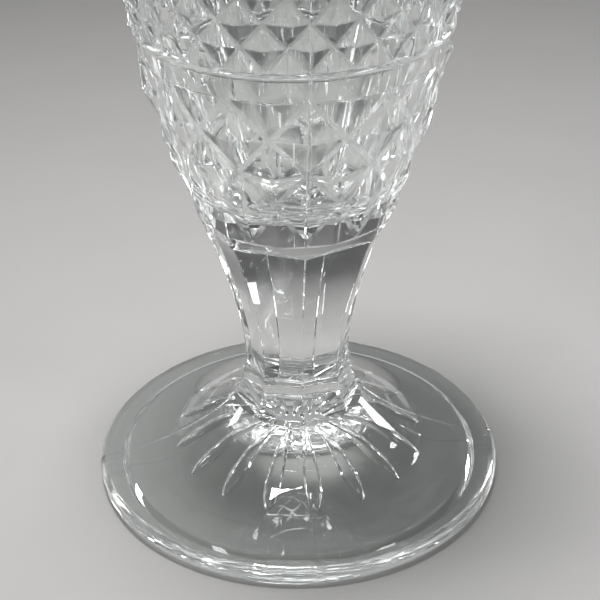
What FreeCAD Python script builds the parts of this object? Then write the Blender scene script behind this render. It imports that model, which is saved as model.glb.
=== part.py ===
# Footed vase of clear pressed glass: a round foot with a sunburst pressed under it, an eight
# panel stem, and a deep bowl whose plain band parts a zone of large diamonds from small ones.
# Millimetres, +Z up, origin at the centre of the face it stands on, one mould seam towards -Y.
# Every zone is a closed solid that meets the next on one level face, where the form breaks.
import FreeCAD, Part
import math
import os

os.makedirs("parts", exist_ok=True)

# How often each feature repeats around or up the vase
seam_count = 4
panel_count = 8
ray_count = 16
large_column_count = 12
small_column_count = 24
small_row_count = 12

# Height of each zone, from the table up
foot_height = 21.9
stem_collar_height = 9.2
stem_height = 42.2
bowl_collar_height = 4.1
large_zone_height = 40.9
band_height = 7.1
small_zone_height = 71.6
lip_height = 8.0

# Foot: a ring to stand on, a rounded rim and a slope that rises to the stem
foot_radius = 52.0
rim_round = 3.0
ring_inset = 2.1
ring_width = 4.3
recess_depth = 1.8
recess_run = 1.6
rim_bulge_height = 2.7
rim_top_height = 5.4
foot_neck_ledge = 0.8
# Points of the slope: share of the way in from the rim, share of the way up to the stem
slope_shares = [(0.31, 0.165), (0.60, 0.405), (0.80, 0.66)]

# Underside: inside the ring it is nearly level, then rises to a dome below the stem
dome_rise = 11.4
# Points of the dome: share of its radius, share of its rise
dome_shares = [(1.0, 0.0), (0.818, 0.026), (0.727, 0.061), (0.682, 0.123), (0.636, 0.272),
               (0.568, 0.518), (0.455, 0.798), (0.377, 0.904), (0.205, 0.991), (0.1, 1.0)]

# Sunburst: long pointed hollows pressed upwards into the dome
ray_inner_radius = 5.0
ray_widest_radius = 24.0
ray_tip_radius = 29.8
ray_half_width = 2.1
ray_depth = 1.3
ray_turn_degrees = 2.4
ray_inner_width_share = 0.25

# Mould seams: fine raised lines down the foot and across the band
seam_height = 0.35
seam_width = 0.7

# Stem: corner radii of the eight panel sections
stem_neck_radius = 13.15
stem_top_radius = 22.9
collar_ledge = 0.35
collar_break_flare = 0.4
collar_break_height = 5.5
collar_foot_flare = 1.9
# Sections of the stem: share of its height, share of its flare
stem_shares = [(0.0, 0.0), (0.19, 0.015), (0.43, 0.20), (0.66, 0.48), (1.0, 1.0)]

# Bowl collar: the round end of the stem, into which the panels run out as arches
bowl_foot_radius = 23.7
panel_runout_radius = 27.0

# Large diamonds: valley radii, and how far the points stand out from them
large_zone_top_radius = 35.2
large_peak_rise = 2.1
# Rows of the large diamonds: share of the height, of the flare and of the rise
large_row_shares = [(0.0, 0.0, 0.4), (0.308, 0.322, 0.85), (0.523, 0.548, 0.95),
                    (0.753, 0.791, 1.0), (1.0, 1.0, 0.6)]

# Plain band with a bead along its upper edge
band_flare = 0.9
bead_height = 2.9
bead_rise = 0.8

# Small diamonds
small_zone_top_radius = 43.0
small_peak_rise = 1.6
small_row_growth = 1.007

# Lip: plain, with a fully rounded edge
lip_flare = 1.4
lip_thickness = 3.7

# Cavity: a flat floor, a turned corner and one long curve, set in from the valleys by the wall
cavity_floor_height = 4.6
large_zone_wall = 5.2
band_wall = 4.5
top_wall = 3.1
cavity_lean_degrees = 18.8
# Levels of the small diamond zone that the cavity's curve passes through
cavity_wall_shares = (0.0, 0.33, 0.67, 1.0)
# Shares of the radius of the bowl's foot
cavity_flat_share = 0.506
cavity_turn_share = 0.422

# How far a cutter runs past the solid that it cuts
overrun = 2.0

# Levels of the seats between the zones
stem_collar_level = foot_height
stem_level = stem_collar_level + stem_collar_height
bowl_collar_level = stem_level + stem_height
large_zone_level = bowl_collar_level + bowl_collar_height
band_level = large_zone_level + large_zone_height
small_zone_level = band_level + band_height
lip_level = small_zone_level + small_zone_height
vase_height = lip_level + lip_height

# Radii that follow from the ones above
rim_top_radius = foot_radius - rim_round
ring_outer_radius = foot_radius - ring_inset
ring_inner_radius = ring_outer_radius - ring_width
dome_radius = ring_inner_radius - recess_run
collar_top_radius = stem_neck_radius + collar_ledge
collar_break_radius = collar_top_radius + collar_break_flare
collar_foot_radius = collar_break_radius + collar_foot_flare
foot_neck_radius = collar_foot_radius + foot_neck_ledge
band_foot_radius = large_zone_top_radius
band_top_radius = band_foot_radius + band_flare
lip_foot_radius = small_zone_top_radius
lip_outer_radius = lip_foot_radius + lip_flare
lip_inner_radius = lip_outer_radius - lip_thickness
cavity_top_radius = small_zone_top_radius - top_wall
cavity_flat_radius = bowl_foot_radius * cavity_flat_share
cavity_turn_radius = bowl_foot_radius * cavity_turn_share

full_turn = 360.0
quarter_turn = 90.0
axis_point = FreeCAD.Vector(0, 0, 0)
axis_direction = FreeCAD.Vector(0, 0, 1)


def in_section(radius, level):
    # A point of a half section, which lies in the XZ plane
    return FreeCAD.Vector(radius, 0, level)


def line(start, end):
    return Part.LineSegment(start, end).toShape()


def arc(start, middle, end):
    return Part.Arc(start, middle, end).toShape()


def path_of_lines(points):
    return [line(start, end) for start, end in zip(points, points[1:])]


def turned(edges):
    # The solid that a closed half section sweeps around the axis
    section = Part.Face(Part.Wire(edges))
    return section.revolve(axis_point, axis_direction, full_turn)


def around(radius, level, degrees):
    angle = math.radians(degrees)
    return FreeCAD.Vector(radius * math.cos(angle), radius * math.sin(angle), level)


def repeated(shape, count, first_degrees):
    copies = []
    for index in range(count):
        copy = shape.copy()
        copy.rotate(axis_point, axis_direction, first_degrees + index * full_turn / count)
        copies.append(copy)
    return copies


def panel_section(corner_radius, level):
    # Eight sided outline with one corner towards -Y, in line with a mould seam
    corners = [around(corner_radius, level, index * full_turn / panel_count - quarter_turn)
               for index in range(panel_count)]
    return Part.makePolygon(corners + corners[:1])


def solid_of(faces):
    shell = Part.Shell(faces)
    shell.sewShape()
    solid = Part.Solid(shell)
    if solid.Volume < 0:
        solid.reverse()
    return solid


def slope_edge(lift):
    # Upper surface of the foot, from the rim to the stem collar
    run = rim_top_radius - foot_neck_radius
    climb = foot_height - rim_top_height
    shares = [(0.0, 0.0)] + slope_shares + [(1.0, 1.0)]
    curve = Part.BSplineCurve()
    curve.interpolate([in_section(rim_top_radius - share_in * run,
                                  rim_top_height + share_up * climb + lift)
                       for share_in, share_up in shares])
    return curve.toShape()


def foot_body():
    slope = slope_edge(0)
    rim_top = in_section(rim_top_radius, rim_top_height)
    under = path_of_lines([in_section(foot_neck_radius, foot_height),
                           in_section(0, foot_height),
                           in_section(0, recess_depth),
                           in_section(dome_radius, recess_depth),
                           in_section(ring_inner_radius, 0),
                           in_section(ring_outer_radius, 0)])
    rim = arc(in_section(ring_outer_radius, 0), in_section(foot_radius, rim_bulge_height), rim_top)
    return turned(under + [rim, slope])


def foot_seam():
    # A thin upright plate that stands out of the rim and the slope by the height of the seam
    core_radius = collar_break_radius
    core_level = (recess_depth + ray_depth + rim_top_height) / 2
    raised_top = in_section(rim_top_radius, rim_top_height + seam_height)
    raised_neck = in_section(foot_neck_radius, foot_height + seam_height)
    bulge = in_section(foot_radius + seam_height, rim_bulge_height)
    shoulder = in_section((foot_radius + rim_top_radius + seam_height) / 2,
                          rim_top_height - (rim_top_height - rim_bulge_height) / 6)
    base = path_of_lines([raised_neck,
                          in_section(core_radius, foot_height + seam_height),
                          in_section(core_radius, core_level),
                          in_section(ring_inner_radius, core_level),
                          in_section(ring_inner_radius, rim_bulge_height),
                          bulge])
    outline = base + [arc(bulge, shoulder, raised_top), slope_edge(seam_height)]
    plate = Part.Face(Part.Wire(outline)).extrude(FreeCAD.Vector(0, seam_width, 0))
    plate.translate(FreeCAD.Vector(0, -seam_width / 2, 0))
    below_stem = Part.makeCylinder(foot_radius + overrun, foot_height)
    return plate.common(below_stem)


def dome_hollow(lift):
    # What the dome leaves open above the ring's recess, raised by the lift
    floor = recess_depth / 2
    section = [in_section(share_out * dome_radius, recess_depth + share_up * dome_rise + lift)
               for share_out, share_up in dome_shares]
    curve = Part.BSplineCurve()
    curve.interpolate(section)
    rest = path_of_lines([section[-1],
                          in_section(0, recess_depth + dome_rise + lift),
                          in_section(0, floor),
                          in_section(dome_radius, floor),
                          section[0]])
    return turned(rest + [curve.toShape()])


def ray_hollow():
    # A long leaf, cut out of the dome raised by the depth of the rays
    inner_half_width = ray_half_width * ray_inner_width_share
    corners = [(ray_inner_radius, inner_half_width), (ray_widest_radius, ray_half_width),
               (ray_tip_radius, 0), (ray_widest_radius, -ray_half_width),
               (ray_inner_radius, -inner_half_width)]
    outline = [FreeCAD.Vector(radius, across, recess_depth) for radius, across in corners]
    leaf = Part.Face(Part.makePolygon(outline + outline[:1]))
    return leaf.extrude(FreeCAD.Vector(0, 0, foot_height)).common(dome_hollow(ray_depth))


def foot():
    body = foot_body().fuse(repeated(foot_seam(), seam_count, 0))
    hollows = [dome_hollow(0)] + repeated(ray_hollow(), ray_count, ray_turn_degrees)
    return body.cut(hollows).removeSplitter()


def stem_collar():
    break_level = stem_collar_level + collar_break_height
    lower = Part.makeLoft([panel_section(collar_foot_radius, stem_collar_level),
                           panel_section(collar_break_radius, break_level)], True, True)
    upper = Part.makeLoft([panel_section(collar_break_radius, break_level),
                           panel_section(collar_top_radius, stem_level)], True, True)
    return lower.fuse(upper)


def stem():
    flare = stem_top_radius - stem_neck_radius
    sections = [panel_section(stem_neck_radius + flare_share * flare,
                              stem_level + height_share * stem_height)
                for height_share, flare_share in stem_shares]
    return Part.makeLoft(sections, True, False)


def bowl_collar():
    round_end = Part.makeCone(stem_top_radius, bowl_foot_radius, bowl_collar_height,
                              FreeCAD.Vector(0, 0, bowl_collar_level))
    panels = Part.makeLoft([panel_section(stem_top_radius, bowl_collar_level),
                            panel_section(panel_runout_radius, large_zone_level)], True, True)
    return round_end.common(panels)


def small_valley_radius(share):
    # The wall leans out at the band and stands upright at the lip
    return band_top_radius + (small_zone_top_radius - band_top_radius) * share * (2 - share)


def cavity():
    # Everything inside the wall, up to a little past the foot of the lip
    floor_level = large_zone_level + cavity_floor_height
    turn_centre_level = floor_level + cavity_turn_radius
    lean = math.radians(cavity_lean_degrees)

    def on_turn(angle):
        return in_section(cavity_flat_radius + cavity_turn_radius * math.cos(angle),
                          turn_centre_level - cavity_turn_radius * math.sin(angle))

    turn_start = in_section(cavity_flat_radius, floor_level)
    turn_end = on_turn(lean)
    turn_middle = on_turn((math.radians(quarter_turn) + lean) / 2)
    wall_points = [turn_end, in_section(large_zone_top_radius - large_zone_wall, band_level)]
    for share in cavity_wall_shares:
        wall_thickness = band_wall + (top_wall - band_wall) * share
        wall_points.append(in_section(small_valley_radius(share) - wall_thickness,
                                      small_zone_level + share * small_zone_height))
    wall = Part.BSplineCurve()
    wall.interpolate(wall_points)
    rim = path_of_lines([wall_points[-1],
                         in_section(cavity_top_radius, lip_level + overrun),
                         in_section(0, lip_level + overrun),
                         in_section(0, floor_level),
                         turn_start])
    return turned(rim + [arc(turn_start, turn_middle, turn_end), wall.toShape()])


def diamond_body(column_count, rows):
    # Rows of corners around the axis, where every second corner is the point of a diamond.
    # Each row is its level, its valley radius and the radius of its points.
    step_count = 2 * column_count
    rings = []
    for row_index, (level, valley_radius, point_radius) in enumerate(rows):
        rings.append([around(valley_radius if (row_index + step) % 2 == 0 else point_radius,
                             level, step * full_turn / step_count - quarter_turn)
                      for step in range(step_count)])
    faces = [Part.Face(Part.makePolygon(ring + ring[:1])) for ring in (rings[0], rings[-1])]
    for row_index in range(len(rows) - 1):
        for step in range(step_count):
            onward = (step + 1) % step_count
            low_left = rings[row_index][step]
            low_right = rings[row_index][onward]
            high_left = rings[row_index + 1][step]
            high_right = rings[row_index + 1][onward]
            # The valley runs between the two corners that aren't points
            if (row_index + step) % 2 == 0:
                triangles = [(low_left, low_right, high_right), (low_left, high_right, high_left)]
            else:
                triangles = [(low_left, low_right, high_left), (low_right, high_right, high_left)]
            faces += [Part.Face(Part.makePolygon(list(corners) + [corners[0]]))
                      for corners in triangles]
    return solid_of(faces)


def large_diamond_bowl():
    flare = large_zone_top_radius - bowl_foot_radius
    rows = []
    for height_share, flare_share, rise_share in large_row_shares:
        valley_radius = bowl_foot_radius + flare_share * flare
        rows.append((large_zone_level + height_share * large_zone_height, valley_radius,
                     valley_radius + rise_share * large_peak_rise))
    return diamond_body(large_column_count, rows)


def small_diamond_wall():
    steps = [small_row_growth ** index for index in range(small_row_count)]
    rows = []
    for index in range(small_row_count + 1):
        share = sum(steps[:index]) / sum(steps)
        valley_radius = small_valley_radius(share)
        rows.append((small_zone_level + share * small_zone_height, valley_radius,
                     valley_radius + small_peak_rise))
    return diamond_body(small_column_count, rows)


def band_outline(lift, inner_radius):
    bead_level = small_zone_level - bead_height
    bead_foot = in_section(band_top_radius + lift, bead_level)
    bead_crest = in_section(band_top_radius + bead_rise + lift, bead_level + bead_height / 2)
    bead_top = in_section(band_top_radius + lift, small_zone_level)
    rest = path_of_lines([bead_top,
                          in_section(inner_radius, small_zone_level),
                          in_section(inner_radius, band_level),
                          in_section(band_foot_radius + lift, band_level),
                          bead_foot])
    return rest + [arc(bead_foot, bead_crest, bead_top)]


def plain_band():
    body = turned(band_outline(0, 0))
    seam = Part.Face(Part.Wire(band_outline(seam_height, band_foot_radius - seam_width)))
    plate = seam.extrude(FreeCAD.Vector(0, seam_width, 0))
    plate.translate(FreeCAD.Vector(0, -seam_width / 2, 0))
    return body.fuse(repeated(plate, seam_count, 0))


def lip():
    edge_radius = (lip_outer_radius - lip_inner_radius) / 2
    edge_level = vase_height - edge_radius
    outer_end = in_section(lip_outer_radius, edge_level)
    inner_end = in_section(lip_inner_radius, edge_level)
    sides = path_of_lines([inner_end,
                           in_section(cavity_top_radius, lip_level),
                           in_section(lip_foot_radius, lip_level),
                           outer_end])
    crest = in_section(lip_inner_radius + edge_radius, vase_height)
    return turned(sides + [arc(outer_end, crest, inner_end)])


hollow = cavity()
nodes = {
    "foot": foot(),
    "stem_collar": stem_collar(),
    "stem": stem(),
    "bowl_collar": bowl_collar(),
    "large_diamond_bowl": large_diamond_bowl().cut(hollow),
    "plain_band": plain_band().cut(hollow),
    "small_diamond_wall": small_diamond_wall().cut(hollow),
    "lip": lip(),
}

for name, shape in nodes.items():
    print(name, "solids", len(shape.Solids), "valid", shape.isValid(),
          "volume", round(shape.Volume), "faces", len(shape.Faces),
          "from", round(shape.BoundBox.ZMin, 2), "to", round(shape.BoundBox.ZMax, 2))
    shape.exportStep("parts/" + name + ".step")
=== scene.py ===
import math

import bmesh
import bpy
from mathutils import Matrix, Vector
from mathutils.geometry import interpolate_bezier


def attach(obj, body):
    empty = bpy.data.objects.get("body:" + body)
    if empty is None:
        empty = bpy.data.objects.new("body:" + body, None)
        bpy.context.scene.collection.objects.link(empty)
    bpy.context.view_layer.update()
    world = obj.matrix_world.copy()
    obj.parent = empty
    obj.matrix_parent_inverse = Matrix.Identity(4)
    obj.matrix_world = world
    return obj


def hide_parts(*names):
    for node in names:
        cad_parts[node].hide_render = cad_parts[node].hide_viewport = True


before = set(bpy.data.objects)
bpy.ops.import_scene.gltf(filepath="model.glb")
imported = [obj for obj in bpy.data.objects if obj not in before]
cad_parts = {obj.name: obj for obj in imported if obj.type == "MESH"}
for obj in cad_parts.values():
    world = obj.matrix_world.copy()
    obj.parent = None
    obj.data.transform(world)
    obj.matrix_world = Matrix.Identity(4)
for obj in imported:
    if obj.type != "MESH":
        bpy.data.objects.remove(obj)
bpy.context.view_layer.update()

# Footed vase of clear pressed glass. Every zone is drawn in millimetres and scaled at the end.
millimetre = 0.001
roundSteps = 192          # steps of every round form, so that neighbours share their outlines
panelCount = 8            # flat panels of the stem; every second arris is on a mould seam
mergeDistance = 0.002
planeDistance = 0.0005    # a point this near a plane counts as on it
clearance = 0.01          # keeps a test of a level or radius off the edge that it names
sameAzimuth = 0.99999     # cosine past which an edge's two ends count as on one azimuth


# Finishes

glassLook = {
    "tint": (0.955, 0.975, 0.968, 1),
    "ior": 1.52,
    "roughLow": 0.0, "roughHigh": 0.035, "roughScale": 90, "roughDetail": 3,
    "unevenFrom": 0.45, "unevenTo": 0.8,
    "matteRough": 0.2,
    "waveScale": 60, "waveDetail": 1.5, "waveHeight": 0.00002,
    "shadeBlend": 0.45, "shadeFace": (0.86, 0.87, 0.865, 1),
    "shadeEdge": (0.15, 0.16, 0.155, 1),
}


def freshMaterial(name):
    material = bpy.data.materials.new(name)
    material.use_nodes = True
    material.node_tree.nodes.clear()
    return material, material.node_tree.nodes, material.node_tree.links


def addNode(nodes, kind, values=None, **settings):
    # settings come first, because some of them change which sockets the node shows
    node = nodes.new(kind)
    for name, value in settings.items():
        setattr(node, name, value)
    for socket, value in (values or {}).items():
        node.inputs[socket].default_value = value
    return node


def clearGlass(look):
    material, nodes, links = freshMaterial("clearPressedGlass")
    place = addNode(nodes, "ShaderNodeTexCoord")
    wave = addNode(nodes, "ShaderNodeTexNoise",          # the slow waves that a mould leaves
                   {"Scale": look["waveScale"], "Detail": look["waveDetail"]})
    waveBump = addNode(nodes, "ShaderNodeBump", {"Strength": 1, "Distance": look["waveHeight"]})
    polish = addNode(nodes, "ShaderNodeTexNoise",        # fire polish is a little uneven
                     {"Scale": look["roughScale"], "Detail": look["roughDetail"]})
    spread = addNode(nodes, "ShaderNodeMapRange",
                     {"From Min": look["unevenFrom"], "From Max": look["unevenTo"],
                      "To Min": look["roughLow"], "To Max": look["roughHigh"]})
    # the valleys between diamonds keep the mould's dull skin
    matte = addNode(nodes, "ShaderNodeAttribute", attribute_name="matte")
    dull = addNode(nodes, "ShaderNodeMath", {1: look["matteRough"]}, operation="MULTIPLY_ADD")
    glass = addNode(nodes, "ShaderNodeBsdfPrincipled",
                    {"Base Color": look["tint"], "IOR": look["ior"], "Transmission Weight": 1})
    # lamps shine through, a little less at the edges
    rays = addNode(nodes, "ShaderNodeLightPath")
    edges = addNode(nodes, "ShaderNodeLayerWeight", {"Blend": look["shadeBlend"]})
    shade = addNode(nodes, "ShaderNodeMix", {"A": look["shadeFace"], "B": look["shadeEdge"]},
                    data_type="RGBA")
    passed = addNode(nodes, "ShaderNodeBsdfTransparent")
    choice = addNode(nodes, "ShaderNodeMixShader")
    out = addNode(nodes, "ShaderNodeOutputMaterial")
    links.new(place.outputs["Object"], wave.inputs["Vector"])
    links.new(place.outputs["Object"], polish.inputs["Vector"])
    links.new(wave.outputs["Fac"], waveBump.inputs["Height"])
    links.new(waveBump.outputs["Normal"], glass.inputs["Normal"])
    links.new(polish.outputs["Fac"], spread.inputs["Value"])
    links.new(matte.outputs["Fac"], dull.inputs[0])
    links.new(spread.outputs["Result"], dull.inputs[2])
    links.new(dull.outputs["Value"], glass.inputs["Roughness"])
    links.new(edges.outputs["Facing"], shade.inputs["Factor"])
    links.new(shade.outputs["Result"], passed.inputs["Color"])
    links.new(rays.outputs["Is Shadow Ray"], choice.inputs["Fac"])
    links.new(glass.outputs["BSDF"], choice.inputs[1])
    links.new(passed.outputs["BSDF"], choice.inputs[2])
    links.new(choice.outputs["Shader"], out.inputs["Surface"])
    return material


def innerSeat():
    # the vase is one pressing, so a seat between two zones shows nothing
    material, nodes, links = freshMaterial("seatInsideGlass")
    through = addNode(nodes, "ShaderNodeBsdfTransparent")
    out = addNode(nodes, "ShaderNodeOutputMaterial")
    links.new(through.outputs["BSDF"], out.inputs["Surface"])
    return material


glassMaterial = clearGlass(glassLook)
seatMaterial = innerSeat()
print("finishes ready")


# Shapes that several zones share

def arc(centre, radius, start, end, steps):
    angles = [math.radians(start + (end - start) * step / steps) for step in range(steps + 1)]
    return [(centre[0] + radius * math.cos(angle), centre[1] + radius * math.sin(angle))
            for angle in angles]


def bent(knots, steps):
    # one curve from its start, two handles and its end
    start, startHandle, endHandle, end = [Vector((radius, level, 0)) for radius, level in knots]
    points = interpolate_bezier(start, startHandle, endHandle, end, steps + 1)
    return [(point.x, point.y) for point in points]


def smoothPath(points, steps):
    # a curve through every point; a handle is a sixth of the line between its two neighbours
    spans = [Vector((radius, level, 0)) for radius, level in points]
    padded = spans[:1] + spans + spans[-1:]
    path = [points[0]]
    for before, start, end, after in zip(padded, padded[1:], padded[2:], padded[3:]):
        part = interpolate_bezier(start, start + (end - before) / 6, end - (after - start) / 6,
                                  end, steps + 1)
        path += [(point.x, point.y) for point in part[1:]]
    return path


def circle(bm, steps, radius, level):
    made = bmesh.ops.create_circle(bm, cap_ends=False, segments=steps, radius=radius,
                                   matrix=Matrix.Translation((0, 0, level)))
    return list(dict.fromkeys(edge for vert in made["verts"] for edge in vert.link_edges))


def drawOn(bm, edges, path):
    # the ring of edges is drawn on through each radius and level of the path
    for (radius, level), (nextRadius, nextLevel) in zip(path, path[1:]):
        made = bmesh.ops.extrude_edge_only(bm, edges=edges)["geom"]
        verts = [item for item in made if isinstance(item, bmesh.types.BMVert)]
        grow = nextRadius / radius
        bmesh.ops.scale(bm, vec=(grow, grow, 1), verts=verts)
        bmesh.ops.translate(bm, vec=(0, 0, nextLevel - level), verts=verts)
        fresh = set(verts)
        edges = [item for item in made
                 if isinstance(item, bmesh.types.BMEdge) and fresh.issuperset(item.verts)]
    return edges


def openEdges(bm, level):
    return [edge for edge in bm.edges
            if len(edge.link_faces) < 2 and all(abs(vert.co.z - level) < mergeDistance
                                                for vert in edge.verts)]


def radiusOf(vert):
    return vert.co.xy.length


def azimuthOf(vert):
    return math.degrees(math.atan2(vert.co.y, vert.co.x)) % 360


def cutBy(bm, point, normal, clearOuter=False):
    geom = list(bm.verts) + list(bm.edges) + list(bm.faces)
    return bmesh.ops.bisect_plane(bm, geom=geom, dist=planeDistance, clear_outer=clearOuter,
                                  plane_co=point, plane_no=normal)["geom_cut"]


def bevelEdges(bm, edges, offset, segments):
    return bmesh.ops.bevel(bm, geom=edges, affect="EDGES", offset=offset, offset_type="OFFSET",
                           segments=segments, profile=0.5, material=-1,
                           clamp_overlap=True)["faces"]


def fillFlat(bm, edges, up):
    bmesh.ops.triangle_fill(bm, edges=edges, use_beauty=True, normal=(0, 0, up))


def raiseSeams(bm, width, height, onOutside):
    # fine cuts along each mould seam, whose strip is then drawn out to a low round ridge
    half = width / 2
    for across in (Vector((1, 0, 0)), Vector((0, 1, 0))):
        for offset in (-half, -half / 2, 0, half / 2, half):
            cutBy(bm, across * offset, across)
    bm.normal_update()
    raised = []
    for vert in bm.verts:
        share = min(abs(vert.co.x), abs(vert.co.y)) / half
        if share < 1 and onOutside(radiusOf(vert), vert.co.z):
            outward = vert.normal.copy()
            if outward.dot(Vector((vert.co.x, vert.co.y, radiusOf(vert)))) < 0:
                outward.negate()
            raised.append((vert, outward * height * (1 - share ** 2)))
    for vert, move in raised:
        vert.co += move


def finishPiece(name, node, bm, seats, sharpAngle):
    # seats are the level and reach of the faces where this zone runs on into its neighbour
    bmesh.ops.remove_doubles(bm, verts=bm.verts, dist=mergeDistance)
    bmesh.ops.recalc_face_normals(bm, faces=bm.faces)
    for face in bm.faces:
        face.smooth = True
        for level, reach in seats:
            if all(abs(vert.co.z - level) < mergeDistance
                   and radiusOf(vert) < reach + mergeDistance for vert in face.verts):
                face.material_index = 1     # seatMaterial
    bmesh.ops.scale(bm, vec=(millimetre, millimetre, millimetre), verts=bm.verts)
    openCount = sum(1 for edge in bm.edges if len(edge.link_faces) != 2)
    mesh = bpy.data.meshes.new(name)
    bm.to_mesh(mesh)
    bm.free()
    mesh.set_sharp_from_angle(angle=math.radians(sharpAngle))
    mesh.materials.append(glassMaterial)
    mesh.materials.append(seatMaterial)
    piece = bpy.data.objects.new(name, mesh)
    bpy.context.scene.collection.objects.link(piece)
    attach(piece, "root")
    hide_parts(node)
    print(name, "made,", len(mesh.polygons), "faces, open edges", openCount)


# Levels of the seats between the zones
levels = {
    "footTop": 21.9, "collarTop": 31.1, "stemTop": 73.3, "bowlFoot": 77.4,
    "bandFoot": 118.3, "bandTop": 125.4, "lipFoot": 197.0,
}
# Reach of each seat: to the panels' corners up to the stem's top, and round above it
reaches = {
    "footTop": 15.8, "collarTop": 13.15, "stemTop": 22.9, "bowlFoot": 23.68,
    "bandFoot": 35.18, "bandTop": 36.08, "lipFoot": 42.98,
}

# Cavity
cavity = {
    "flatRadius": 12.0, "floorLevel": 82.0, "turnRadius": 10.0, "lean": 18.8,
    "wall": [(21.47, 88.78), (30.21, 113.38), (39.22, 154.19),
             (39.9, levels["lipFoot"])],
    "wallSteps": 600,
}
wallPoints = bent(cavity["wall"], cavity["wallSteps"])


def cavityRadius(level):
    # past either end the wall keeps the radius that it has there
    for (radius, low), (nextRadius, high) in zip(wallPoints, wallPoints[1:]):
        if low <= level <= high:
            return radius + (nextRadius - radius) * (level - low) / (high - low)
    return wallPoints[-1][0] if level > wallPoints[-1][1] else wallPoints[0][0]


def wallPath(top, bottom, steps):
    rows = [top + (bottom - top) * step / steps for step in range(steps + 1)]
    return [(cavityRadius(level), level) for level in rows]


# Foot

foot = {
    "slope": [(16.6, levels["footTop"]), (25.4, 12.5), (38.55, 7.34), (49.0, 5.4)],
    "slopeSteps": 48,
    "rimCentre": (49.256, 2.668), "rimRadius": 2.744, "rimStart": 95.4, "rimEnd": -76.4,
    "rimSteps": 30,
    "ringOuter": 49.9, "ringInner": 45.6, "recessEdge": 44.0, "recessDepth": 1.8,
    "dome": [(43.8, 1.8), (37.0, 2.2), (33.0, 3.0), (30.0, 4.4), (25.0, 7.9), (20.0, 10.9),
             (16.6, 12.2), (9.0, 13.2), (4.4, 13.3), (2.0, 13.3)],
    "domeSteps": 12,
    "seamWidth": 1.4, "seamHeight": 0.16,
    "seamFoot": 2.8, "seamReach": 50.0,    # seams are above this level or outside this radius
    "arrisWidth": 0.3, "arrisSegments": 2, "sharpAngle": 24,
}
domePoints = smoothPath(foot["dome"], foot["domeSteps"])
sunburst = {                   # leaves from root to tip, gouged up into the dome
    "rays": 16, "root": 5.0, "widest": 24.0, "tip": 30.4, "turn": 2.4,
    "rootHalf": 0.5, "half": 2.1, "least": 0.05,
    "depth": 1.3, "flatness": 4, "rootRun": 0.3,    # a leaf ends over this run at its root
    "outerSteps": 12, "tipSteps": 14, "bodySteps": 26,
    "across": 4, "between": 2,     # steps from a leaf's middle to its edge, and on to halfway
}


def domeLevel(radius):
    for (outer, low), (inner, high) in zip(domePoints, domePoints[1:]):
        if inner <= radius <= outer:
            return low + (high - low) * (outer - radius) / (outer - inner)
    return domePoints[-1][1]


def leafHalf(radius):
    if radius > sunburst["widest"]:
        share = (radius - sunburst["widest"]) / (sunburst["tip"] - sunburst["widest"])
        return max(sunburst["half"] * math.sqrt(max(0, 1 - share ** 2)), sunburst["least"])
    share = (radius - sunburst["root"]) / (sunburst["widest"] - sunburst["root"])
    return sunburst["rootHalf"] + (sunburst["half"] - sunburst["rootHalf"]) * share


def sunburstDome(bm):
    # a round grid whose columns are drawn together along the leaves, which are then lifted
    root, widest, tip = sunburst["root"], sunburst["widest"], sunburst["tip"]
    outer, low = foot["dome"][0]
    centre = foot["dome"][-1][0]
    rows = [outer + (tip - outer) * step / sunburst["outerSteps"]
            for step in range(sunburst["outerSteps"])]
    rows += [widest + (tip - widest) * math.cos(math.pi / 2 * step / sunburst["tipSteps"])
             for step in range(sunburst["tipSteps"])]
    rows += [widest + (root - widest) * step / sunburst["bodySteps"]
             for step in range(sunburst["bodySteps"] + 1)]
    rows += [root - sunburst["rootRun"], (root + centre) / 2, centre]
    known = set(bm.verts)
    start = circle(bm, roundSteps, outer, low)
    end = drawOn(bm, start, [(radius, domeLevel(radius)) for radius in rows])
    across, halfway = sunburst["across"], sunburst["across"] + sunburst["between"]
    column, sector = 360 / roundSteps, 360 / sunburst["rays"]
    plain = across * column
    for vert in bm.verts:
        if vert in known:
            continue
        radius = radiusOf(vert)
        place = (round(azimuthOf(vert) / column) + halfway) % (2 * halfway) - halfway
        edge = math.degrees(leafHalf(min(max(radius, root), tip)) / radius)
        if radius > tip:
            edge += (plain - edge) * (radius - tip) / (outer - tip)
        elif radius < root:
            edge += (plain - edge) * (root - radius) / (root - centre)
        if abs(place) <= across:
            azimuth = edge * place / across
        else:
            azimuth = edge + (sector / 2 - edge) * (abs(place) - across) / (halfway - across)
            azimuth = math.copysign(azimuth, place)
        if root - clearance < radius < tip - clearance and abs(place) < across:
            deep = sunburst["depth"] * math.sqrt(leafHalf(radius) / sunburst["half"])
            vert.co.z += deep * (1 - (place / across) ** sunburst["flatness"])
        turn = math.radians(azimuth - place * column + sunburst["turn"])
        vert.co.xy = Matrix.Rotation(turn, 2) @ vert.co.xy
    bmesh.ops.edgeloop_fill(bm, edges=end)


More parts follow.
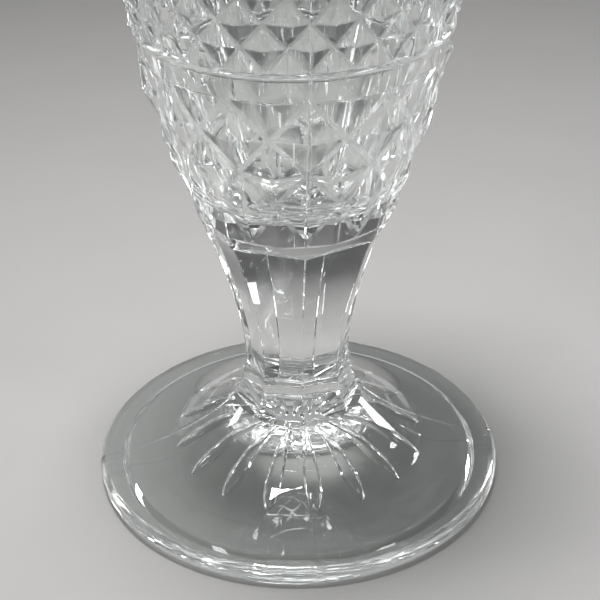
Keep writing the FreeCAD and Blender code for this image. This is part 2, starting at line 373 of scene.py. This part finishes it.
def footPiece():
    bm = bmesh.new()
    neck = circle(bm, roundSteps, *foot["slope"][0])
    slope = bent(foot["slope"], foot["slopeSteps"])
    rim = arc(foot["rimCentre"], foot["rimRadius"], foot["rimStart"], foot["rimEnd"],
              foot["rimSteps"])
    under = [(foot["ringOuter"], 0), (foot["ringInner"], 0),
             (foot["recessEdge"], foot["recessDepth"])]
    drawOn(bm, neck, slope + rim[1:-1] + under)
    bmesh.ops.recalc_face_normals(bm, faces=bm.faces)
    raiseSeams(bm, foot["seamWidth"], foot["seamHeight"],
               lambda radius, level: (foot["seamFoot"] < level < levels["footTop"] - clearance
                                      or radius > foot["seamReach"]))
    sunburstDome(bm)
    fillFlat(bm, openEdges(bm, foot["recessDepth"]), up=-1)
    cap = bmesh.ops.create_circle(bm, cap_ends=True, segments=panelCount,
                                  radius=reaches["footTop"],
                                  matrix=Matrix.Translation((0, 0, levels["footTop"])))
    bmesh.ops.bevel(bm, geom=cap["verts"], affect="VERTICES", offset=foot["arrisWidth"],
                    offset_type="OFFSET", segments=foot["arrisSegments"], profile=0.5,
                    material=-1)
    fillFlat(bm, openEdges(bm, levels["footTop"]), up=1)
    finishPiece("vaseFoot", "foot", bm, [(levels["footTop"], reaches["footTop"])],
                foot["sharpAngle"])


# Stem collar and stem

stemCollar = {
    "path": [(reaches["footTop"], levels["footTop"]), (13.9, 27.4), (13.5, levels["collarTop"]),
             (reaches["collarTop"], levels["collarTop"])],
    "arrisWidth": 0.3, "arrisSegments": 2, "seamHeight": 0.2, "sharpAngle": 9,
}
stem = {
    "flare": [(reaches["collarTop"], levels["collarTop"]), (11.76, 41.92), (18.64, 62.79),
              (reaches["stemTop"], levels["stemTop"])],
    "steps": 44, "arrisWidth": 0.3, "arrisSegments": 2, "seamHeight": 0.2, "sharpAngle": 9,
}


def panelledPiece(name, node, path, look):
    bm = bmesh.new()
    ends = [circle(bm, panelCount, *path[0])]
    ends.append(drawOn(bm, ends[0], path))
    for end in ends:
        bmesh.ops.edgeloop_fill(bm, edges=end)
    # the arrises are the long edges, which keep to one azimuth
    arrises = [edge for edge in bm.edges
               if edge.verts[0].co.xy.normalized().dot(edge.verts[1].co.xy.normalized())
               > sameAzimuth]
    bevelEdges(bm, arrises, look["arrisWidth"], look["arrisSegments"])
    for vert in bm.verts:      # the mould seams run down four of the arrises
        if min(abs(vert.co.x), abs(vert.co.y)) < planeDistance:
            vert.co.xy *= 1 + look["seamHeight"] / radiusOf(vert)
    seats = [(level, radius + look["seamHeight"]) for radius, level in (path[0], path[-1])]
    finishPiece(name, node, bm, seats, look["sharpAngle"])


def stemCollarPiece():
    panelledPiece("vaseStemCollar", "stem_collar", stemCollar["path"], stemCollar)


def stemPiece():
    panelledPiece("vaseStem", "stem", bent(stem["flare"], stem["steps"]), stem)


# Bowl collar: a short cone, cut by the eight panels as they run out

bowlCollar = {
    "footRadius": reaches["stemTop"], "topRadius": reaches["bowlFoot"], "runoutRadius": 27.0,
    "rimHeight": 0.7, "rimRise": 0.3, "rimSteps": 10, "sharpAngle": 9,
}


def bowlCollarPiece():
    bm = bmesh.new()
    low, high = levels["stemTop"], levels["bowlFoot"]
    footRadius, topRadius = bowlCollar["footRadius"], bowlCollar["topRadius"]
    rimLevel = high - bowlCollar["rimHeight"]
    slope = (topRadius - footRadius) / (high - low)
    rim = []                   # a fine rounded rim under the bowl
    for step in range(bowlCollar["rimSteps"] + 1):
        share = step / bowlCollar["rimSteps"]
        level = rimLevel + share * (high - rimLevel)
        rim.append((topRadius - slope * (high - level)
                    + bowlCollar["rimRise"] * math.sin(math.pi * share), level))
    lowEdges = circle(bm, roundSteps, footRadius, low)
    highEdges = drawOn(bm, lowEdges, [(footRadius, low)] + rim)
    bmesh.ops.edgeloop_fill(bm, edges=lowEdges)
    bmesh.ops.edgeloop_fill(bm, edges=highEdges)
    bmesh.ops.recalc_face_normals(bm, faces=bm.faces)
    flat = math.cos(math.pi / panelCount)      # a panel's middle, as a share of its corners
    outward = (bowlCollar["runoutRadius"] - footRadius) * flat
    for index in range(panelCount):
        turn = Matrix.Rotation((index + 0.5) * 2 * math.pi / panelCount, 3, "Z")
        onPanel = turn @ Vector((0, footRadius * flat, 0))
        facing = turn @ Vector((0, high - low, -outward))
        cut = cutBy(bm, onPanel + Vector((0, 0, low)), facing, clearOuter=True)
        bmesh.ops.edgeloop_fill(bm, edges=[item for item in cut
                                           if isinstance(item, bmesh.types.BMEdge)])
    seats = [(low, reaches["stemTop"]), (high, reaches["bowlFoot"])]
    finishPiece("vaseBowlCollar", "bowl_collar", bm, seats, bowlCollar["sharpAngle"])


# Zones of diamonds

def diamondShell(bm, rows, look):
    # rows are level, valley radius and rise, and run one past each end of the zone; every
    # second corner of a row, counted from the front seam, is the point of a diamond
    steps = 2 * look["columns"]
    edges = circle(bm, steps, rows[0][1], rows[0][0])
    drawOn(bm, edges, [(radius, level) for level, radius, rise in rows])
    valleys, points = [], []
    for index, (level, radius, rise) in enumerate(rows):
        ring = [vert for vert in bm.verts if abs(vert.co.z - level) < mergeDistance]
        out = [vert for vert in ring
               if (round((azimuthOf(vert) + 90) * steps / 360) + index) % 2 == 0]
        valleys += [vert for vert in ring if vert not in out]
        points += out
        grow = (radius + rise) / radius
        bmesh.ops.scale(bm, vec=(grow, grow, 1), verts=out)
    bmesh.ops.connect_verts(bm, verts=valleys)
    low = set(valleys)
    floors = [edge for edge in bm.edges if low.issuperset(edge.verts)]
    matte = bm.faces.layers.float.new("matte")
    for face in bevelEdges(bm, floors, look["valleyWidth"] / 2, segments=1):
        face[matte] = 1        # the mould leaves the valleys less bright than the points
    ridges = [edge for vert in points for edge in vert.link_edges if len(edge.link_faces) == 2]
    bevelEdges(bm, list(dict.fromkeys(ridges)), look["ridgeWidth"] / 2, segments=1)
    raiseSeams(bm, look["seamWidth"], look["seamHeight"], lambda radius, level: True)
    for level, outward in ((rows[1][0], -1), (rows[-2][0], 1)):
        cutBy(bm, (0, 0, level), (0, 0, outward), clearOuter=True)


largeDiamonds = {
    "columns": 12, "valleyWidth": 1.4, "ridgeWidth": 0.5, "sharpAngle": 5,
    "seamWidth": 0.9, "seamHeight": 0.25,
    "rows": [(67.0, 20.6, 0.8), (levels["bowlFoot"], 23.7, 0.84), (90.0, 27.4, 1.785),
             (98.8, 30.0, 1.995), (108.2, 32.8, 2.1), (levels["bandFoot"], 35.2, 1.26),
             (128.5, 37.4, 1.2)],
    "wallSteps": 20, "turnSteps": 20,
}
smallDiamonds = {
    "columns": 24, "rowCount": 12, "growth": 1.007, "footRadius": 36.1, "topRadius": 43.0,
    "rise": 1.6, "valleyWidth": 0.9, "ridgeWidth": 0.35, "wallSteps": 36, "sharpAngle": 5,
    "seamWidth": 0.9, "seamHeight": 0.25,
}


def largeDiamondPiece():
    bm = bmesh.new()
    low, high = levels["bowlFoot"], levels["bandFoot"]
    diamondShell(bm, largeDiamonds["rows"], largeDiamonds)
    starTop, starFoot = openEdges(bm, high), openEdges(bm, low)
    seatTop = circle(bm, roundSteps, reaches["bandFoot"], high)
    seatFoot = circle(bm, roundSteps, reaches["bowlFoot"], low)
    fillFlat(bm, starTop + seatTop, up=1)
    fillFlat(bm, starFoot + seatFoot, up=-1)
    bmesh.ops.edgeloop_fill(bm, edges=seatFoot)
    turn = arc((cavity["flatRadius"], cavity["floorLevel"] + cavity["turnRadius"]),
               cavity["turnRadius"], -cavity["lean"], -90, largeDiamonds["turnSteps"])
    wall = wallPath(high, turn[0][1], largeDiamonds["wallSteps"])
    floor = drawOn(bm, seatTop, [(reaches["bandFoot"], high)] + wall[:-1] + turn)
    bmesh.ops.edgeloop_fill(bm, edges=floor)
    seats = [(low, reaches["bowlFoot"]), (high, reaches["bandFoot"])]
    finishPiece("vaseLargeDiamonds", "large_diamond_bowl", bm, seats,
                largeDiamonds["sharpAngle"])


def smallDiamondPiece():
    bm = bmesh.new()
    low, high = levels["bandTop"], levels["lipFoot"]
    steps = [smallDiamonds["growth"] ** index for index in range(smallDiamonds["rowCount"])]
    flare = smallDiamonds["topRadius"] - smallDiamonds["footRadius"]
    shares = [sum(steps[:index]) / sum(steps) for index in range(smallDiamonds["rowCount"] + 1)]
    shares = [-shares[1]] + shares + [2 - shares[-2]]
    rows = [(low + share * (high - low),
             smallDiamonds["footRadius"] + flare * share * (2 - share), smallDiamonds["rise"])
            for share in shares]
    diamondShell(bm, rows, smallDiamonds)
    starTop, starFoot = openEdges(bm, high), openEdges(bm, low)
    seatTop = circle(bm, roundSteps, reaches["lipFoot"], high)
    wall = wallPath(high, low, smallDiamonds["wallSteps"])
    seatFoot = drawOn(bm, seatTop, [(reaches["lipFoot"], high)] + wall
                      + [(reaches["bandTop"], low)])
    fillFlat(bm, starTop + seatTop, up=1)
    fillFlat(bm, starFoot + seatFoot, up=-1)
    seats = [(low, reaches["bandTop"]), (high, reaches["lipFoot"])]
    finishPiece("vaseSmallDiamonds", "small_diamond_wall", bm, seats,
                smallDiamonds["sharpAngle"])


# Plain band and lip

band = {
    "footRadius": 35.2, "topRadius": smallDiamonds["footRadius"], "beadLevel": 123.2,
    "beadCentre": (35.744, 124.3), "beadRadius": 1.156, "beadAngle": 72.1, "beadSteps": 26,
    "seamWidth": 0.8, "seamHeight": 0.35, "wallSteps": 5, "sharpAngle": 9,
}
lip = {
    "footRadius": smallDiamonds["topRadius"],
    "edgeCentre": (42.55, 203.15), "edgeRadius": 1.85, "edgeSteps": 40, "sharpAngle": 9,
}


def bandPiece():
    bm = bmesh.new()
    low, high = levels["bandFoot"], levels["bandTop"]
    start = circle(bm, roundSteps, reaches["bandFoot"], low)
    bead = arc(band["beadCentre"], band["beadRadius"], -band["beadAngle"], band["beadAngle"],
               band["beadSteps"])
    outside = [(reaches["bandFoot"], low), (band["footRadius"], low),
               (band["topRadius"], band["beadLevel"])] + bead[1:-1] + [(band["topRadius"], high)]
    inside = [(reaches["bandTop"], high)] + wallPath(high, low, band["wallSteps"])
    inside.append((reaches["bandFoot"], low))
    drawOn(bm, start, outside + inside)
    bmesh.ops.remove_doubles(bm, verts=bm.verts, dist=mergeDistance)
    bmesh.ops.recalc_face_normals(bm, faces=bm.faces)
    raiseSeams(bm, band["seamWidth"], band["seamHeight"],
               lambda radius, level: (level > low + clearance
                                      and radius > band["footRadius"] + clearance))
    seats = [(low, reaches["bandFoot"]), (high, reaches["bandTop"])]
    finishPiece("vaseBand", "plain_band", bm, seats, band["sharpAngle"])


def lipPiece():
    bm = bmesh.new()
    low = levels["lipFoot"]
    start = circle(bm, roundSteps, reaches["lipFoot"], low)
    edge = arc(lip["edgeCentre"], lip["edgeRadius"], 0, 180, lip["edgeSteps"])
    drawOn(bm, start, [(reaches["lipFoot"], low), (lip["footRadius"], low)] + edge
           + [(cavityRadius(low), low), (reaches["lipFoot"], low)])
    finishPiece("vaseLip", "lip", bm, [(low, reaches["lipFoot"])], lip["sharpAngle"])


for build in (footPiece, stemCollarPiece, stemPiece, bowlCollarPiece, largeDiamondPiece,
              bandPiece, smallDiamondPiece, lipPiece):
    build()
print("vase built")


# Floor

floorLook = {
    "size": 12.0, "segments": 8,
    "colour": (0.21, 0.207, 0.203, 1), "shade": (0.195, 0.192, 0.188, 1),
    "grainScale": 30, "grainDetail": 4, "rough": 0.85,
}


def studioFloor():
    bm = bmesh.new()
    bmesh.ops.create_grid(bm, x_segments=floorLook["segments"],
                          y_segments=floorLook["segments"], size=floorLook["size"] / 2)
    mesh = bpy.data.meshes.new("studioFloor")
    bm.to_mesh(mesh)
    bm.free()
    material, nodes, links = freshMaterial("palePaper")
    place = addNode(nodes, "ShaderNodeTexCoord")
    grain = addNode(nodes, "ShaderNodeTexNoise",
                    {"Scale": floorLook["grainScale"], "Detail": floorLook["grainDetail"]})
    tone = addNode(nodes, "ShaderNodeMix", {"A": floorLook["colour"], "B": floorLook["shade"]},
                   data_type="RGBA")
    paper = addNode(nodes, "ShaderNodeBsdfPrincipled", {"Roughness": floorLook["rough"]})
    out = addNode(nodes, "ShaderNodeOutputMaterial")
    links.new(place.outputs["Object"], grain.inputs["Vector"])
    links.new(grain.outputs["Fac"], tone.inputs["Factor"])
    links.new(tone.outputs["Result"], paper.inputs["Base Color"])
    links.new(paper.outputs["BSDF"], out.inputs["Surface"])
    mesh.materials.append(material)
    floor = bpy.data.objects.new("studioFloor", mesh)
    bpy.context.scene.collection.objects.link(floor)


studioFloor()
print("floor laid")


# Light

lamps = [                      # places and sizes in metres, power in watts, spread in degrees
    {"name": "overhead", "at": (-0.06, 0.02, 0.9), "size": (0.22, 0.22),
     "power": 2.2, "spread": 70},
    {"name": "frontPanel", "at": (-0.2, -1.1, 0.75), "size": (0.6, 0.5),
     "power": 0.8, "spread": 120},
    {"name": "leftStrip", "at": (-0.65, 0.3, 0.22), "size": (0.1, 0.36),
     "power": 0.45, "spread": 90},
    {"name": "rightStrip", "at": (0.62, 0.36, 0.2), "size": (0.12, 0.3),
     "power": 0.4, "spread": 90},
    {"name": "leftFront", "at": (-0.8, -0.6, 0.5), "size": (0.15, 0.4),
     "power": 0.6, "spread": 100},
    {"name": "rightFront", "at": (0.75, -0.7, 0.6), "size": (0.2, 0.3),
     "power": 0.6, "spread": 100},
]
lampAim = Vector((0, 0, 0.08))
room = {
    "lit": (-0.1, 0.55, 0.8),  # towards the lit side
    "tones": [(0, 0.02), (0.5, 0.03), (0.75, 0.2), (1, 0.42)],    # 1 is right at the lit side
    "tint": (1, 1.01, 1.03),
}


def studioLight():
    for lamp in lamps:
        data = bpy.data.lights.new(lamp["name"], "AREA")
        data.shape = "RECTANGLE"
        data.size, data.size_y = lamp["size"]
        data.energy = lamp["power"]
        data.spread = math.radians(lamp["spread"])
        light = bpy.data.objects.new(lamp["name"], data)
        light.location = lamp["at"]
        light.rotation_euler = (lampAim - light.location).to_track_quat("-Z", "Y").to_euler()
        bpy.context.scene.collection.objects.link(light)
    world = bpy.data.worlds.new("studioRoom")
    bpy.context.scene.world = world
    world.use_nodes = True
    world.node_tree.nodes.clear()
    nodes, links = world.node_tree.nodes, world.node_tree.links
    place = addNode(nodes, "ShaderNodeTexCoord")
    along = addNode(nodes, "ShaderNodeVectorMath", {1: Vector(room["lit"]).normalized()},
                    operation="DOT_PRODUCT")
    spread = addNode(nodes, "ShaderNodeMapRange", {"From Min": -1})    # the ramp runs from 0 to 1
    ramp = addNode(nodes, "ShaderNodeValToRGB")
    stops = ramp.color_ramp.elements
    while len(stops) < len(room["tones"]):
        stops.new(0.5)         # any place will do, because the loop below sets it
    for stop, (position, tone) in zip(stops, room["tones"]):
        stop.position = position
        stop.color = [tone * part for part in room["tint"]] + [1]
    back = addNode(nodes, "ShaderNodeBackground")
    out = addNode(nodes, "ShaderNodeOutputWorld")
    links.new(place.outputs["Generated"], along.inputs[0])
    links.new(along.outputs["Value"], spread.inputs["Value"])
    links.new(spread.outputs["Result"], ramp.inputs["Fac"])
    links.new(ramp.outputs["Color"], back.inputs["Color"])
    links.new(back.outputs["Background"], out.inputs["Surface"])


studioLight()


# Camera

view = {                       # place in metres, angles in degrees, lens in millimetres
    "at": (-0.03281, -0.34072, 0.25756), "down": 31.38, "turn": -5.64, "roll": -0.64,
    "lens": 96.216, "sensor": 36, "nearest": 0.02,
}


def studioCamera():
    data = bpy.data.cameras.new("photoView")
    data.lens, data.sensor_width = view["lens"], view["sensor"]
    data.clip_start = view["nearest"]
    camera = bpy.data.objects.new("photoView", data)
    turn = Matrix.Rotation(math.radians(view["turn"]), 4, "Z")
    tilt = Matrix.Rotation(math.radians(90 - view["down"]), 4, "X")
    roll = Matrix.Rotation(math.radians(view["roll"]), 4, "Z")
    camera.matrix_world = Matrix.Translation(view["at"]) @ turn @ tilt @ roll
    bpy.context.scene.collection.objects.link(camera)
    bpy.context.scene.camera = camera


studioCamera()

bpy.context.scene.view_settings.view_transform = "Standard"
bpy.context.scene.view_settings.exposure = 0.2
cycles = bpy.context.scene.cycles
cycles.max_bounces = 24
cycles.transmission_bounces = 24
cycles.glossy_bounces = 12
cycles.diffuse_bounces = 3
cycles.transparent_max_bounces = 32
cycles.use_denoising = True
cycles.caustics_reflective = False
cycles.caustics_refractive = False
cycles.sample_clamp_indirect = 12
print("light and camera ready")
